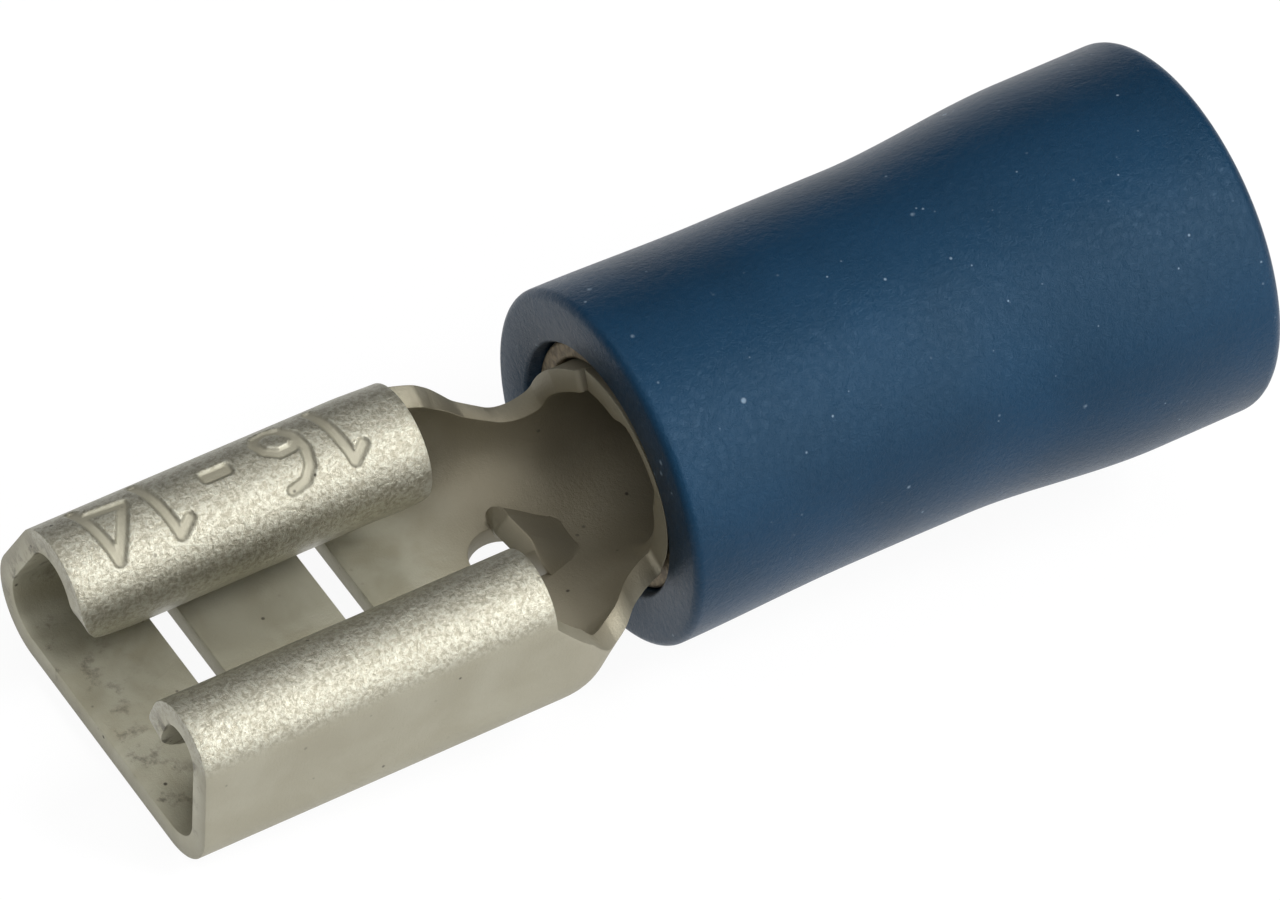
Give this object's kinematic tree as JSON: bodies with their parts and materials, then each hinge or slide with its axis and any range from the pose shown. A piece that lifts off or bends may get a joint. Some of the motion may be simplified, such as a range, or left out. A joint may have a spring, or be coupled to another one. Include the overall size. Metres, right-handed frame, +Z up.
{
  "type": "female spade terminal",
  "caption": "Insulated female spade terminal: a folded brass receptacle with curled sides grips a flat blade, and a rolled barrel inside a blue sleeve is crimped onto a wire.",
  "frame": {"origin": "centre of the footprint of the whole terminal, on the surface that it lies on", "axes": "+X runs from the mouth that takes the blade to the wire entry, level; +Z is up, with the curls on top; +Y is to the left of someone who looks along +X. The terminal lies nose down, on the front edge of its floor and on the front rim of the insulator, so its own length rises by 9.4 degrees from +X."},
  "size_m": [0.0196, 0.0062, 0.0076],
  "materials": {
    "tinned_brass": "tin plating, satin",
    "sleeve_brass": "drawn, dull",
    "blue_pvc": "moulded, fine grain, soft sheen"
  },
  "bodies": {
    "root": {"terminal": "tinned_brass", "support_sleeve": "sleeve_brass", "insulator": "blue_pvc"}
  },
  "joints": []
}
